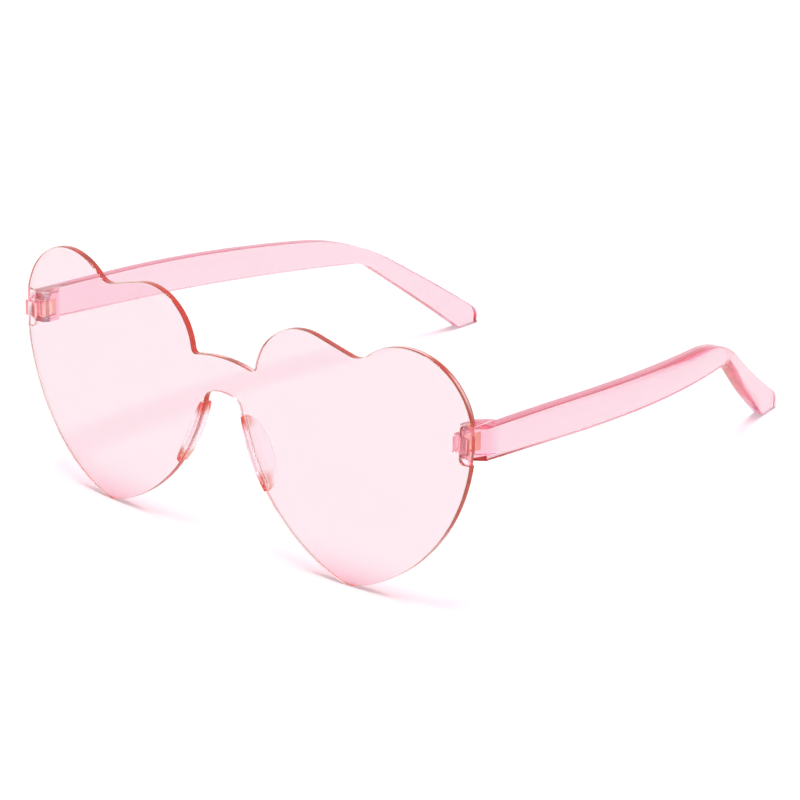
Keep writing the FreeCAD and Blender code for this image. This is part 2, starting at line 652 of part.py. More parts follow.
def temple_plan(body):
    """Plan of a temple: straight from the mitred front, bowed in toward the head, flared at the tip."""
    front, out, inner = size(TEMPLE_FRONT), size(TEMPLE_OUT), size(TEMPLE_IN)
    mitre, start = size("Sizes.mitre"), size(f"{TEMPLE_FRONT} + Sizes.bow_start")
    half = size("Sizes.temple_thickness / 2")
    bow_x = f"{TEMPLE_OUT} - Sizes.temple_thickness / 2 - Sizes.bow_radius"
    past_end = f"{TEMPLE_END} + Sizes.ear_tip_radius"
    flare_start = f"{TEMPLE_END} - Sizes.flare_length"
    bow = at(size(bow_x), start)
    sweep = math.asin((size(flare_start) - start) / (size("Sizes.bow_radius") + half))
    turn = at(math.cos(sweep), math.sin(sweep))
    outer_turn = bow + turn * (size("Sizes.bow_radius") + half)
    inner_turn = bow + turn * (size("Sizes.bow_radius") - half)
    flare_radius = size("Sizes.flare_radius")
    flare = outer_turn + turn * (flare_radius - half)
    rise = (size(past_end) - flare.y) / (flare_radius - half)
    ray = at(-math.sqrt(1 - rise**2), rise)
    outer_end = flare + ray * (flare_radius - half)
    inner_end = flare + ray * (flare_radius + half)
    outline = Outline(body, "PlanOutline", "XY_Plane")
    outline.line(at(out - mitre, front), at(out, front + mitre))
    outline.line(at(out, front + mitre), at(out, start))
    outline.arc(bow, at(out, start), outer_turn)
    outline.arc(flare, outer_turn, outer_end, clockwise=True)
    outline.line(outer_end, inner_end)
    outline.arc(flare, inner_end, inner_turn)
    outline.arc(bow, inner_turn, at(inner, start), clockwise=True)
    outline.line(at(inner, start), at(inner, front))
    outline.line(at(inner, front), at(out - mitre, front))
    outline.close(smooth=(1, 2, 5, 6))
    outline.fix("Vertical", 1)
    outline.fix("Vertical", 7)
    outline.fix("Horizontal", 8)
    outline.fix("Coincident", 6, 3, 2, 3)
    outline.fix("Coincident", 5, 3, 3, 3)
    outline.radius(2, "Sizes.bow_radius + Sizes.temple_thickness / 2")
    outline.radius(6, "Sizes.bow_radius - Sizes.temple_thickness / 2")
    outline.radius(3, "Sizes.flare_radius - Sizes.temple_thickness / 2")
    outline.place(2, 3, bow_x, f"{TEMPLE_FRONT} + Sizes.bow_start")
    outline.place(2, 2, up=flare_start)
    outline.place(0, 1, f"{TEMPLE_OUT} - Sizes.mitre", TEMPLE_FRONT)
    outline.place(0, 2, up=f"{TEMPLE_FRONT} + Sizes.mitre")
    outline.fix("PointOnObject", 3, 3, 4)
    outline.place(4, 1, up=past_end)
    return outline.sketch


def fork_plan(body):
    """Plan of the hinge fork on the inner face of a temple, round in front and ramped behind."""
    side_in = f"{HINGE_X} - Sizes.knuckle_radius"
    root = f"{TEMPLE_IN} + Sizes.knuckle_gap"
    back = f"{TEMPLE_FRONT} + Sizes.fork_length"
    ramp = f"{back} + {root} - ({side_in})"
    pin = at(size(HINGE_X), size(HINGE_Y))
    front = size(TEMPLE_FRONT)
    points = [
        at(pin.x, front), at(size(root), front), at(size(root), size(ramp)),
        at(size(side_in), size(back)), at(size(side_in), pin.y),
    ]
    outline = Outline(body, "ForkPlan", "XY_Plane", FORK_LOW)
    for start, end in zip(points, points[1:]):
        outline.line(start, end)
    outline.arc(pin, points[4], points[0])
    outline.close(smooth=(3, 4))
    outline.fix("Horizontal", 0)
    outline.fix("Vertical", 1)
    outline.fix("Vertical", 3)
    outline.radius(4, "Sizes.knuckle_radius")
    outline.place(4, 3, HINGE_X, HINGE_Y)
    outline.place(1, 2, root, ramp)
    outline.place(3, 1, up=back)
    return outline.sketch


def make_temple():
    """Temple: the side view cut to the bowed plan, with the hinge fork on its inner face."""
    body = new_body("temple_left")
    tool = new_body("temple_plan_tool")
    side = temple_side(body)
    document.recompute()
    grow(body, "SideBlank", side, TEMPLE_OUT)
    plan = temple_plan(tool)
    document.recompute()
    grow(tool, "PlanBlank", plan, "2 * Sizes.heart_height", symmetric=True)
    blade = body.newObject("PartDesign::Boolean", "Blade")
    blade.setObjects([tool])
    blade.Type = "Common"
    document.recompute()
    grow(body, "Fork", fork_plan(body), "Sizes.fork_height")
    slot = Outline(body, "SlotPlan", "XY_Plane", SLOT_LOW)
    slot.rectangle(
        f"{HINGE_X} - 2 * Sizes.knuckle_radius", TEMPLE_IN,
        f"{TEMPLE_FRONT} - Sizes.knuckle_radius", f"{HINGE_Y} + Sizes.knuckle_radius + Sizes.knuckle_gap",
    )
    upward = {"Reversed": True}
    remove(body, "Slot", "Pocket", slot.sketch, upward, {"Length": SLOT_HEIGHT})
    thread = circle(body, "ThreadOutline", FORK_LOW, "Sizes.screw_radius")
    remove(body, "Thread", "Pocket", thread, upward, {"Length": "Sizes.fork_height / 2"})
    hole = circle(body, "HoleOutline", HINGE_Z, SCREW_HOLE)
    remove(body, "Hole", "Pocket", hole, upward, {"Length": "Sizes.fork_height / 2"})
    seat = circle(body, "HeadSeatOutline", HEAD_SEAT, "Sizes.screw_head_radius + Sizes.screw_gap")
    remove(body, "HeadSeat", "Pocket", seat, upward, {"Length": "Sizes.screw_head_height"})
    return body


def make_screw():
    """Slotted hinge screw: shank through the three knuckles, head sunk in the upper one."""
    body = new_body("hinge_screw_left")
    shank = circle(body, "ShankOutline", FORK_LOW, "Sizes.screw_radius")
    grow(body, "Shank", shank, f"{HEAD_SEAT} - {FORK_LOW}")
    head = circle(body, "HeadOutline", HEAD_SEAT, "Sizes.screw_head_radius")
    grow(body, "Head", head, "Sizes.screw_head_height")
    slot = Outline(body, "SlotOutline", "XY_Plane", f"{HINGE_Z} + Sizes.fork_height / 2")
    slot.rectangle(
        f"{HINGE_X} - 2 * Sizes.screw_head_radius", f"{HINGE_X} + 2 * Sizes.screw_head_radius",
        f"{HINGE_Y} - Sizes.screw_slot_width / 2", f"{HINGE_Y} + Sizes.screw_slot_width / 2",
    )
    remove(body, "DriverSlot", "Pocket", slot.sketch, {}, {"Length": "Sizes.screw_slot_depth"})
    return body


def mirror(body, label):
    """Right-hand piece as the mirror image of a left-hand one."""
    twin = document.addObject("Part::Mirroring", label.title().replace("_", ""))
    twin.Label = label
    twin.Source = body
    twin.Normal = FreeCAD.Vector(1, 0, 0)
    return twin


def rest_placement(pieces):
    """Lean the pair back on its hearts and ear tips, with the origin under the middle of its depth."""
    lean = FreeCAD.Rotation(FreeCAD.Vector(1, 0, 0), -size("Sizes.rest_tilt"))
    lift = size(f"{TIP_BACK} * sin(Sizes.rest_tilt)")
    depths = []
    for piece in pieces:
        shape = piece.Shape.copy()
        shape.Placement = FreeCAD.Placement(FreeCAD.Vector(), lean)
        box = shape.optimalBoundingBox(False)
        depths += [box.YMin, box.YMax]
    middle = (min(depths) + max(depths)) / 2
    return FreeCAD.Placement(FreeCAD.Vector(0, -middle, lift), lean)


def main():
    lens = make_lens()
    left = [make_nose_pad(), make_endpiece(), make_temple(), make_screw()]
    bodies = [lens] + left
    rest = rest_placement(bodies)
    for body in bodies:
        body.Placement = rest
    pieces = bodies + [mirror(body, body.Label.replace("_left", "_right")) for body in left]
    document.recompute()
    for item in document.Objects:
        if "Invalid" in item.State or "Error" in item.State:
            raise RuntimeError(f"{item.Name} failed: {item.getStatusString()}")
    for piece in pieces:
        if piece.Shape.isNull() or not piece.Shape.isValid() or len(piece.Shape.Solids) != 1:
            raise RuntimeError(f"{piece.Label} is not one valid solid")
    os.makedirs("parts", exist_ok=True)
    for piece in pieces:
        piece.Shape.exportStep(f"parts/{piece.Label}.step")


main()
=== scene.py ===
import json
import math

import bmesh
import bpy
from mathutils import Matrix, Vector
from mathutils.geometry import delaunay_2d_cdt
from mathutils.kdtree import KDTree


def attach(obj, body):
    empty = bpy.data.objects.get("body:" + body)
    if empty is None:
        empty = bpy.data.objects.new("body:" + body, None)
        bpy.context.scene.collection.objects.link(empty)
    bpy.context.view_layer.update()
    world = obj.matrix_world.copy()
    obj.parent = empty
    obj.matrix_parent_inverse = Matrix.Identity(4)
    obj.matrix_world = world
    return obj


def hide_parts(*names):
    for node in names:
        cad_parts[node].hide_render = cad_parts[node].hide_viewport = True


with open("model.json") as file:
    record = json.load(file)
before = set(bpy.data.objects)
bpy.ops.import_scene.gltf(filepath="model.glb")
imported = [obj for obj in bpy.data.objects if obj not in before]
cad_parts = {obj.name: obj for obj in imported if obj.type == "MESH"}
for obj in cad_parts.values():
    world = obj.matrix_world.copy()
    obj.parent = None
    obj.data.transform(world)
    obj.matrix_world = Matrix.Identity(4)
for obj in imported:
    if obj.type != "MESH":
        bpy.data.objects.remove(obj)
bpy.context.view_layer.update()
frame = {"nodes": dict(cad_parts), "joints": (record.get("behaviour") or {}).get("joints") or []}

bl_info = {
    "name": "Heart Sunglasses",
    "version": (1, 0, 0),
    "blender": (4, 5, 0),
    "location": "3D View > Sidebar > Sunglasses",
    "description": "Dresses the packed heart shaped sunglasses in clear pink plastic and sets the studio",
    "category": "Add Mesh",
}

SIDES = ("left", "right")

# Where to look for the hinge slot of a temple, from the axis: how far behind it the slot's back may be,
# how far along the temple the middle of its floor may be, and how far outside it that floor may be.
SLOT_REACH = 0.005
SLOT_HALF = 0.0015
SLOT_INNER, SLOT_OUTER = 0.001, 0.003

# The hearts' outline, in shares of the half width.
SHARES = {
    "tip_offset": 0.545, "tip": 0.135, "outer_flank": 0.6086, "outer_lobe": 0.2462, "inner_lobe": 0.2075,
    "inner_offset": 0.3458, "inner_drop": 0.0277, "cleft": 0.0761, "cleft_depth": 0.0726,
    "nasal": 0.635, "nose_gap": 0.083, "bridge": 0.5256, "bridge_corner": 0.0166,
    "arch": 0.166, "arch_corner": 0.0415,
}


def length(name, description, default):
    """Length property in metres."""
    return bpy.props.FloatProperty(
        name=name, description=description, default=default, min=0.0, unit="LENGTH", precision=5
    )


def number(name, description, default, **extra):
    """Plain number property."""
    return bpy.props.FloatProperty(name=name, description=description, default=default, precision=4, **extra)


def whole(name, description, default, least):
    """Whole number property."""
    return bpy.props.IntProperty(name=name, description=description, default=default, min=least)


def colour(name, description, default):
    """Linear colour property."""
    return bpy.props.FloatVectorProperty(
        name=name, description=description, default=default, size=3, min=0.0, max=1.0, subtype="COLOR"
    )


class SunglassesShield(bpy.types.PropertyGroup):
    half_width: length("Half width", "From the middle of the bridge to the outer edge of a heart", 0.0723)
    height: length("Height", "From the tip of a heart to the top of its lobes", 0.0605)
    thickness: length("Thickness", "Wall of the moulded lens", 0.0018)
    curve: length("Curve radius", "Radius of the front surface across the face", 0.6)
    bridge_drop: length("Bridge drop", "Top of the bridge below the top of the hearts", 0.0145)
    bridge_height: length("Bridge height", "Height of the bridge in the middle", 0.0086)
    nose_drop: length("Nose gap drop", "Height under the bridge at which the nose gap is measured", 0.0038)
    hinge_drop: length("Hinge drop", "Middle of the hinge below the top of the hearts", 0.019)
    hinge_back: length("Hinge setback", "Axis of the hinge behind the outer edge of the lens", 0.002)
    notch_depth: length("Notch depth", "Depth of the notch for the endpiece", 0.0031)
    notch_height: length("Notch height", "Height of that notch", 0.0093)
    notch_corner: length("Notch corner", "Radius of the inner corners of the notch", 0.0012)
    pad_drop: length("Pad drop", "Top of the nose pads below the arch of the bridge", 0.0043)
    pad_length: length("Pad length", "Length of the seat of a nose pad along the nasal edge", 0.0185)
    pad_recess: length("Pad recess", "Depth of the recess for a nose pad", 0.001)
    seat_gap: length("Seat gap", "Gap round the pieces seated in the lens", 0.00005)
    edge_round: length("Edge rounding", "Radius of the polished rim", 0.00025)
    step: length("Outline step", "Spacing of points along the outline", 0.0006)
    grid: length("Surface step", "Spacing of points over the lens surfaces", 0.0016)


class SunglassesPads(bpy.types.PropertyGroup):
    width: length("Width", "Width of the band that grips the lens", 0.002)
    lip: length("Lip", "Thickness of the lip in front of the lens", 0.0004)
    wall: length("Wall", "Thickness of the band behind the lens", 0.0011)
    reach: length("Reach", "Reach of the leaf behind the band", 0.003)
    room: length("Room", "Room behind the lens for its curve", 0.00024)
    flare: length("Flare", "Lean of the leaf away from the nose", 0.0022)
    feather: length("Feather", "Thickness of the leaf at its edge", 0.0003)
    end_share: number("End share", "Share of the lip and the wall that is left at the ends", 0.45)
    round: length("Rounding", "Rounding of the moulded corners", 0.00018)
    # The warm ends of the nose pads are painted light and shade.
    warm_top: number("Warm top", "Share of the half length at which the warm top starts", 0.6)
    warm_bottom: number("Warm bottom", "Share of the half length at which the warm bottom starts", 0.45)
    warm_rise: number("Warm rise", "Steepness with which the warm ends start", 5.0)
    stations: whole("Stations", "Cross sections along a pad", 56, 8)


class SunglassesPlastic(bpy.types.PropertyGroup):
    lens_tint: colour("Lens tint", "What the lens leaves of white light that has gone far through it",
                      (0.965, 0.04, 0.35))
    lens_density: number("Lens density", "Absorption of the lens per metre", 90.0)
    temple_tint: colour("Temple tint", "What the temples leave of white light", (0.965, 0.05, 0.36))
    temple_density: number("Temple density", "Absorption of the temples per metre", 98.0)
    # Painted light and shade: the rim faces of the lens take this colour, red where light runs far inside the
    # plastic and grey along the thin dark edge lines; the rim glow adds painted light there.
    rim_light_and_shade: colour("Rim tint", "Warm tint of the polished rim of the lens", (0.8, 0.72, 0.68))
    rim_glow: colour("Rim glow", "Warm light that leaves at the rim of the lens", (0.02, 0.028, 0.0))
    # Painted shade: the top faces of the temples take this deeper pink for how light falls through them.
    top_shade: colour("Edge tint", "Deeper tint along the top of the temples", (0.75, 0.35, 0.42))
    slot_glow: colour("Slot glow", "Warm light that leaves in the temples' hinge slot", (0.5, 0.38, 0.32))
    pad_density: number("Pad density", "Absorption of the nose pads per metre", 45.0)
    # Painted light and shade: the ends of the nose pads take this orange red for light caught in them and
    # shade at their lower end.
    end_light_and_shade: colour("End tint", "Warm tint of the thick ends of the nose pads", (0.76, 0.22, 0.13))
    # Painted light: the endpieces' outer and inner faces take this orange cast for light seen through them.
    clip_side_light: colour("Clip tint", "Warm tint of the endpieces' outer and inner faces", (1.0, 0.74, 0.58))
    clip_density: number("Clip density", "Absorption of the endpieces per metre", 80.0)
    foot_shade: number("Foot shade", "Share of lamp light that the plastic turns away at the floor", 0.6)
    shade_height: length("Shade height", "Height over the floor up to which it turns that light away", 0.008)
    # Painted reflections: pale patches along the rim of the lens stand in for the bright studio seen in its
    # polished edge.
    rim_reflection: number("Frost", "Share of the rim left frosted by the mould", 0.75)
    ior: number("Index of refraction", "Bending of light by the plastic", 1.57)
    round: length("Edge rounding", "Rounding of the moulded edges", 0.0002)
    bounces: whole("Bounces", "Times light may turn inside the plastic before it leaves at a rim", 40, 1)


class SunglassesScrew(bpy.types.PropertyGroup):
    # Partly painted: besides the steel's own colour, this pink holds a painted reflection of the pink plastic
    # round the screw.
    steel: colour("Steel", "Colour of the turned steel", (0.88, 0.7, 0.7))
    pitch: length("Thread pitch", "Rise of one turn of the thread", 0.0006)
    start: length("Thread start", "Start of the thread under the middle of the hinge", 0.0034)
    run: length("Thread run", "Length of the thread along the screw", 0.0060)
    radius: length("Thread radius", "Radius of the middle line of the ridge", 0.0006)
    ridge: length("Ridge", "Radius of the ridge itself", 0.0001)
    round: length("Rounding", "Rounding of the turned edges", 0.00004)


class SunglassesStage(bpy.types.PropertyGroup):
    floor: length("Floor", "Side of the square floor", 8.0)
    glow: number("Floor glow", "Light of the floor that only the camera sees, to lose faint shade", 0.2)
    sky: number("Sky", "Strength of the even studio light", 0.18)
    key: number("Overhead lamp", "Strength of the soft lamp overhead, in watts per square metre", 2.9)
    key_angle: number("Lamp width", "Angle over which that lamp is spread", 0.45, subtype="ANGLE")


class SunglassesSettings(bpy.types.PropertyGroup):
    shield: bpy.props.PointerProperty(type=SunglassesShield)
    pads: bpy.props.PointerProperty(type=SunglassesPads)
    plastic: bpy.props.PointerProperty(type=SunglassesPlastic)
    screw: bpy.props.PointerProperty(type=SunglassesScrew)
    stage: bpy.props.PointerProperty(type=SunglassesStage)


class Wire:
    """Output of a shader node that can be added, subtracted and multiplied."""

    def __init__(self, plan, socket):
        self.plan = plan
        self.socket = socket

    def _math(self, operation, *values):
        return self.plan.add("ShaderNodeMath", {"operation": operation}, dict(enumerate(values)))

    def __add__(self, other):
        return self._math("ADD", self, other)

    def __sub__(self, other):
        return self._math("SUBTRACT", self, other)

    def __rsub__(self, other):
        return self._math("SUBTRACT", other, self)

    def __mul__(self, other):
        return self._math("MULTIPLY", self, other)

    __radd__ = __add__
    __rmul__ = __mul__

    def larger(self, other):
        return self._math("MAXIMUM", self, other)

    def size(self):
        return self._math("ABSOLUTE", self)

    def between(self, low, high):
        """Smooth step from 0 at low to 1 at high."""
        return self.plan.add("ShaderNodeMapRange", {"interpolation_type": "SMOOTHSTEP"},
                             {"Value": self, "From Min": low, "From Max": high})


class Plan:
    """Node tree of a material or of the world."""

    def __init__(self, owner):
        owner.use_nodes = True
        self.tree = owner.node_tree
        self.tree.nodes.clear()

    def node(self, kind, settings=None, inputs=None):
        made = self.tree.nodes.new(kind)
        for name, value in (settings or {}).items():
            setattr(made, name, value)
        for key, value in (inputs or {}).items():
            if isinstance(value, Wire):
                self.tree.links.new(value.socket, made.inputs[key])
            else:
                made.inputs[key].default_value = value
        return made

    def add(self, kind, settings=None, inputs=None, output=0):
        return Wire(self, self.node(kind, settings, inputs).outputs[output])

    def blend(self, share, first, second):
        """Mix of two colours by a share."""
        return self.add("ShaderNodeMix", {"data_type": "RGBA"}, {0: share, 6: first, 7: second}, output=2)


def settings():
    return bpy.context.scene.sunglasses


def hinge_joint(side):
    """Packed joint of the hinge on one side."""
    return next(joint for joint in frame["joints"] if joint["name"] == f"fold_{side}")


def worn_to_row():
    """Turn and shift from the worn frame, upright on the tips of the hearts, to the row frame."""
    shield = settings().shield
    joint = hinge_joint("left")
    _, sine, cosine = joint["axis"]
    back = shield.curve - math.sqrt((shield.curve - shield.thickness) ** 2 - shield.half_width**2)
    hinge = Vector((joint["pos_m"][0], back + shield.hinge_back, shield.height - shield.hinge_drop))
    turn = Matrix(((1, 0, 0), (0, cosine, sine), (0, -sine, cosine)))
    return Matrix.Translation(Vector(joint["pos_m"]) - turn @ hinge) @ turn.to_4x4()


def painted_reflections(plan, surface, place, marked, smear, rim_reflection):
    """Surface with painted reflections: pale patches along the middle of the marked rim."""
    across = plan.add("ShaderNodeAttribute", {"attribute_name": "across"}, output="Fac")
    patches = plan.add("ShaderNodeTexNoise", inputs={"Vector": place, "Scale": 42.0, "Detail": 1.0})
    middle = 1.0 - (across - 0.55).size().between(0.08, 0.3)
    pale = plan.add("ShaderNodeBsdfPrincipled", inputs={
        "Base Color": plan.blend(smear, (1.0, 0.72, 0.72, 1.0), (1.0, 0.86, 0.86, 1.0)),
        "Roughness": 0.3,
    })
    share = marked * middle * patches.between(0.54, 0.62) * rim_reflection
    return plan.add("ShaderNodeMixShader", inputs={0: share, 1: surface, 2: pale})


def lamp_lit(plan, surface, place):
    """Surface that lets lamp light straight through, apart from a share near the floor."""
    look = settings().plastic
    path = plan.node("ShaderNodeLightPath")
    shadow = Wire(plan, path.outputs["Is Shadow Ray"])
    diffuse = Wire(plan, path.outputs["Is Diffuse Ray"])
    height = plan.add("ShaderNodeSeparateXYZ", inputs={"Vector": place}, output="Z")
    kept = 1.0 - (1.0 - height.between(0.0, look.shade_height)) * look.foot_shade
    passing = plan.add("ShaderNodeBsdfTransparent")
    return plan.add("ShaderNodeMixShader", inputs={0: diffuse.larger(shadow * kept), 1: surface, 2: passing})


def clear_plastic(name, tint, density, ripple, rim, glow=(0.0, 0.0, 0.0), glow_on="rim", rim_reflection=0.0):
    """Clear tinted plastic: polished, faintly rippled, and deeper the further light runs through it.

    Where the rim attribute is 1 it takes the rim colour, which is painted light and shade, and rim_reflection
    leaves painted reflections there as pale patches.
    The glow, which is painted light, is seen where the attribute named by glow_on is 1."""
    material = bpy.data.materials.new(name)
    plan = Plan(material)
    place = plan.add("ShaderNodeTexCoord", output="Object")
    flow = plan.add("ShaderNodeTexNoise", inputs={"Vector": place, "Scale": 90.0, "Detail": 3.0})
    smear = plan.add("ShaderNodeTexNoise", inputs={"Vector": place, "Scale": 900.0, "Detail": 4.0})
    bump = plan.add("ShaderNodeBump", inputs={"Height": flow, "Strength": ripple, "Distance": 0.0005})
    marked = plan.add("ShaderNodeAttribute", {"attribute_name": "rim"}, output="Fac")
    lit = plan.add("ShaderNodeAttribute", {"attribute_name": glow_on}, output="Fac")
    clear = plan.blend(flow, (1.0, 0.985, 0.99, 1.0), (1.0, 1.0, 1.0, 1.0))
    surface = plan.add("ShaderNodeBsdfPrincipled", inputs={
        "Base Color": plan.blend(marked, clear, (*rim, 1.0)),
        "Emission Color": plan.blend(lit, (0.0, 0.0, 0.0, 1.0), (*glow, 1.0)),
        "Emission Strength": 1.0,
        "Roughness": smear * 0.03,
        "Normal": bump,
        "IOR": settings().plastic.ior,
        "Transmission Weight": 1.0,
    })
    # Painted reflections along the rim.
    if rim_reflection:
        surface = painted_reflections(plan, surface, place, marked, smear, rim_reflection)
    shown = lamp_lit(plan, surface, place)
    depth = plan.add("ShaderNodeVolumeAbsorption", inputs={"Color": (*tint, 1.0), "Density": density})
    plan.node("ShaderNodeOutputMaterial", inputs={"Surface": shown, "Volume": depth})
    return material


def mark_faces(mesh, marked, name="rim"):
    """Write an attribute: 1 on the faces that are marked, 0 on the others."""
    mark = mesh.attributes.new(name, "FLOAT", "FACE")
    mark.data.foreach_set("value", [float(marked(face)) for face in mesh.polygons])


def turned_steel(name, steel):
    """Small turned steel part with fine lathe marks and darker stains at random."""
    material = bpy.data.materials.new(name)
    plan = Plan(material)
    place = plan.add("ShaderNodeTexCoord", output="Object")
    marks = plan.add("ShaderNodeTexWave", {"bands_direction": "Z"},
                     {"Vector": place, "Scale": 9000.0, "Distortion": 2.0, "Detail": 2.0}, output="Fac")
    stain = plan.add("ShaderNodeTexNoise", inputs={"Vector": place, "Scale": 2500.0, "Detail": 3.0})
    dark = tuple(part * 0.6 for part in steel)
    bump = plan.add("ShaderNodeBump", inputs={"Height": marks, "Strength": 0.15, "Distance": 0.00002})
    surface = plan.add("ShaderNodeBsdfPrincipled", inputs={
        "Base Color": plan.blend(stain, (*dark, 1.0), (*steel, 1.0)),
        "Roughness": marks * 0.1 + 0.22,
        "Metallic": 1.0,
        "Normal": bump,
    })
    plan.node("ShaderNodeOutputMaterial", inputs={"Surface": surface})
    return material


def add_piece(name, mesh, body, node, material):
    """Finished piece in place of a CAD node, riding on its body."""
    mesh.materials.clear()
    mesh.materials.append(material)
    piece = bpy.data.objects.new(name, mesh)
    bpy.context.scene.collection.objects.link(piece)
    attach(piece, body)
    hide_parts(node)


def rounded_copy(node, width, segments=3):
    """Mesh of a CAD node with its triangles merged to faces and its sharp edges rounded."""
    mesh = frame["nodes"][node].data.copy()
    shape = bmesh.new()
    shape.from_mesh(mesh)
    bmesh.ops.remove_doubles(shape, verts=shape.verts, dist=1e-6)
    bmesh.ops.dissolve_limit(shape, angle_limit=math.radians(0.3), verts=shape.verts, edges=shape.edges)
    shape.to_mesh(mesh)
    shape.free()
    rough = bpy.data.objects.new(f"{node}_rough", mesh)
    bpy.context.scene.collection.objects.link(rough)
    bevel = rough.modifiers.new("Rounding", "BEVEL")
    bevel.width = width
    bevel.segments = segments
    bevel.limit_method = "ANGLE"
    bevel.angle_limit = math.radians(28)
    bevel.use_clamp_overlap = True
    finished = bpy.data.meshes.new_from_object(rough.evaluated_get(bpy.context.evaluated_depsgraph_get()))
    bpy.data.objects.remove(rough)
    finished.shade_smooth()
    finished.set_sharp_from_angle(angle=math.radians(32))
    return finished


def polar(angle):
    return Vector((math.cos(angle), math.sin(angle)))


def meet(centre_a, reach_a, centre_b, reach_b, side):
    """Point at two distances from two centres, on the left (+1) or right (-1) of the way between them."""
    along = centre_b - centre_a
    span = along.length
    step = (span**2 + reach_a**2 - reach_b**2) / (2 * span)
    height = math.sqrt(reach_a**2 - step**2)
    along.normalize()
    return centre_a + along * step + Vector((-along.y, along.x)) * (side * height)


def toward(start, goal, distance):
    return start + (goal - start).normalized() * distance


def arc(centre, start, end, step, clockwise=True):
    """Points from start to just before end round a centre."""
    radius = (start - centre).length
    first = math.atan2(*(start - centre).yx)
    sweep = math.atan2(*(end - centre).yx) - first
    sweep = -(-sweep % math.tau) if clockwise else sweep % math.tau
    count = max(2, math.ceil(abs(sweep) * radius / step))
    return [centre + polar(first + sweep * k / count) * radius for k in range(count)]


def straight(start, end, step):
    count = max(1, math.ceil((end - start).length / step))
    return [start.lerp(end, k / count) for k in range(count)]


def nasal_edge(shield):
    """Centre and radius of the nasal edge of the left heart, and the angles of the ends of its pad seat."""
    tip = Vector((SHARES["tip_offset"], SHARES["tip"])) * shield.half_width
    under = shield.height - shield.bridge_drop - shield.bridge_height
    nose = Vector((SHARES["nose_gap"] * shield.half_width, under - shield.nose_drop))
    radius = SHARES["nasal"] * shield.half_width
    centre = meet(tip, radius - tip.y, nose, radius, -1)
    upper = math.pi - math.asin((under - shield.pad_drop - centre.y) / radius)
    return centre, radius, upper, upper + shield.pad_length / radius


def half_outline(shield):
    """Points of the left half of the shield, clockwise from the top of the bridge to the arch under it."""
    r = {name: share * shield.half_width for name, share in SHARES.items()}
    step, height = shield.step, shield.height
    top = height - shield.bridge_drop
    under = top - shield.bridge_height
    bridge, vault = Vector((0, top - r["bridge"])), Vector((0, under - r["arch"]))
    inner = Vector((r["inner_offset"], height - r["inner_drop"] - r["inner_lobe"]))
    tip = Vector((r["tip_offset"], r["tip"]))
    flank_x = shield.half_width - r["outer_flank"]
    reach = r["outer_flank"] - r["tip"]
    flank = Vector((flank_x, tip.y + math.sqrt(reach**2 - (flank_x - tip.x) ** 2)))
    outer_y = height - r["outer_lobe"]
    reach = r["outer_flank"] - r["outer_lobe"]
    outer = Vector((flank.x + math.sqrt(reach**2 - (outer_y - flank.y) ** 2), outer_y))
    cleft_y = height - r["cleft_depth"] + r["cleft"]
    reach = r["outer_lobe"] + r["cleft"]
    cleft = Vector((outer.x - math.sqrt(reach**2 - (cleft_y - outer.y) ** 2), cleft_y))
    nasal, _, seat_top, seat_end = nasal_edge(shield)
    corner = meet(bridge, r["bridge"] + r["bridge_corner"], inner, r["inner_lobe"] + r["bridge_corner"], 1)
    hollow = meet(vault, r["arch"] - r["arch_corner"], nasal, r["nasal"] + r["arch_corner"], 1)
    gap = cleft - inner
    normal = polar(math.atan2(gap.y, gap.x) + math.acos((r["inner_lobe"] + r["cleft"]) / gap.length))

    points = arc(bridge, Vector((0, top)), toward(bridge, corner, r["bridge"]), step)
    lobe_start = toward(inner, corner, r["inner_lobe"])
    points += arc(corner, toward(bridge, corner, r["bridge"]), lobe_start, step / 3, clockwise=False)
    lobe_end, cleft_start = inner + normal * r["inner_lobe"], cleft - normal * r["cleft"]
    points += arc(inner, lobe_start, lobe_end, step) + straight(lobe_end, cleft_start, step)
    outer_start = toward(outer, cleft, r["outer_lobe"])
    points += arc(cleft, cleft_start, outer_start, step, clockwise=False)

    middle = height - shield.hinge_drop
    high, low = middle + shield.notch_height / 2, middle - shield.notch_height / 2
    floor, bend = shield.half_width - shield.notch_depth, shield.notch_corner
    notch_top = Vector((outer.x + math.sqrt(r["outer_lobe"] ** 2 - (high - outer.y) ** 2), high))
    notch_end = Vector((flank.x + math.sqrt(r["outer_flank"] ** 2 - (low - flank.y) ** 2), low))
    points += arc(outer, outer_start, notch_top, step)
    points += straight(notch_top, Vector((floor + bend, high)), step)
    points += arc(Vector((floor + bend, high - bend)), Vector((floor + bend, high)),
                  Vector((floor, high - bend)), step / 3, clockwise=False)
    points += straight(Vector((floor, high - bend)), Vector((floor, low + bend)), step)
    points += arc(Vector((floor + bend, low + bend)), Vector((floor, low + bend)),
                  Vector((floor + bend, low)), step / 3, clockwise=False)
    points += straight(Vector((floor + bend, low)), notch_end, step)

    flank_end, nasal_start = toward(flank, tip, r["outer_flank"]), toward(nasal, tip, r["nasal"])
    points += arc(flank, notch_end, flank_end, step) + arc(tip, flank_end, nasal_start, step)
    spare = shield.seat_gap / r["nasal"]
    upper, lower = polar(seat_top - spare), polar(seat_end + spare)
    deep = r["nasal"] - shield.pad_recess
    points += arc(nasal, nasal_start, nasal + lower * r["nasal"], step)
    points += straight(nasal + lower * r["nasal"], nasal + lower * deep, step)
    points += arc(nasal, nasal + lower * deep, nasal + upper * deep, step)
    points += straight(nasal + upper * deep, nasal + upper * r["nasal"], step)
    nasal_end, arch_start = toward(nasal, hollow, r["nasal"]), toward(vault, hollow, r["arch"])
    points += arc(nasal, nasal + upper * r["nasal"], nasal_end, step)
    points += arc(hollow, nasal_end, arch_start, step / 2, clockwise=False)
    points += arc(vault, arch_start, Vector((0, under)), step, clockwise=False)
    return points + [Vector((0, under))]


